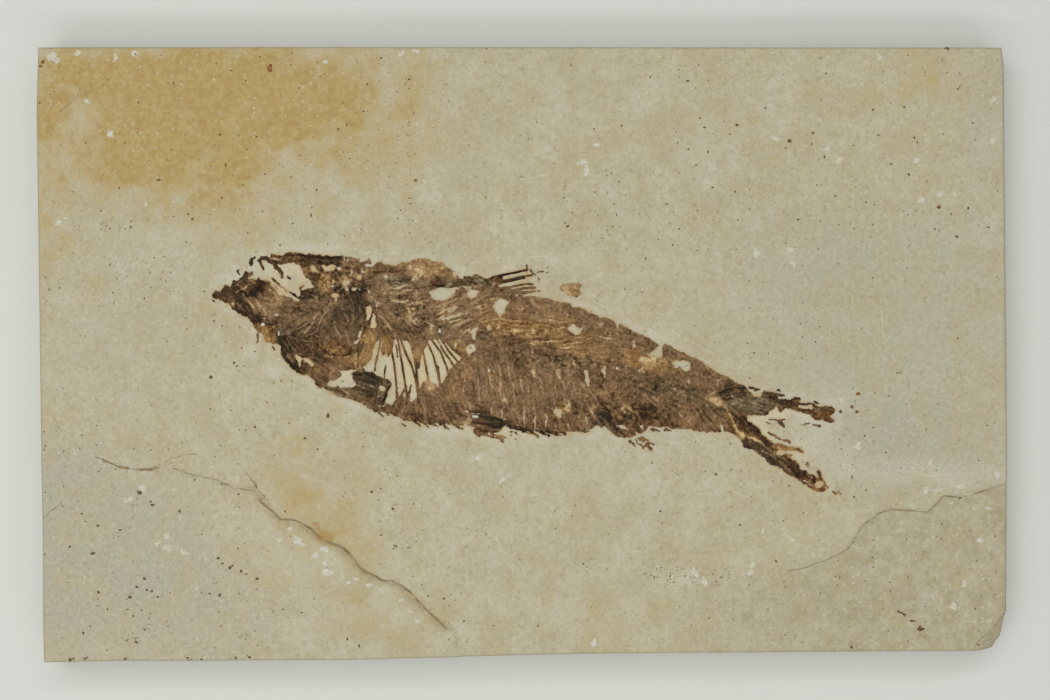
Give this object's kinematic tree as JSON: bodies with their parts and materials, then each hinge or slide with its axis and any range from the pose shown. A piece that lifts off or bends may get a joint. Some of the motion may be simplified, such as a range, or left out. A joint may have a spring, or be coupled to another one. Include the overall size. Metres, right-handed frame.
{
  "type": "fossil fish slab",
  "caption": "Sawn rectangular plate of laminated limestone with a small fossil fish in low relief on its upper face; it lies flat on its back as a display piece.",
  "frame": {"origin": "middle of the slab's flat back, at the bottom of the bounding box", "axes": "+X along the slab's long side from the fish's head to its tail, +Y to the fish's back, +Z out of the face that holds the fish"},
  "size_m": [0.204, 0.1292, 0.011],
  "materials": {
    "limestone": "dull, fine-grained stone",
    "fossil_bone": "dull brown bone",
    "fossil_dark_bone": "dull near-black bone",
    "fossil_scale": "dull brown scale film"
  },
  "bodies": {
    "root": {"limestone_slab": "limestone", "skull": "fossil_bone", "gill_cover": "fossil_dark_bone", "trunk": "fossil_scale", "dorsal_fin": "fossil_bone", "pectoral_fin": "fossil_dark_bone", "pelvic_fin": "fossil_dark_bone", "anal_fin": "fossil_bone", "tail_upper_lobe": "fossil_bone", "tail_lower_lobe": "fossil_bone"}
  },
  "joints": []
}
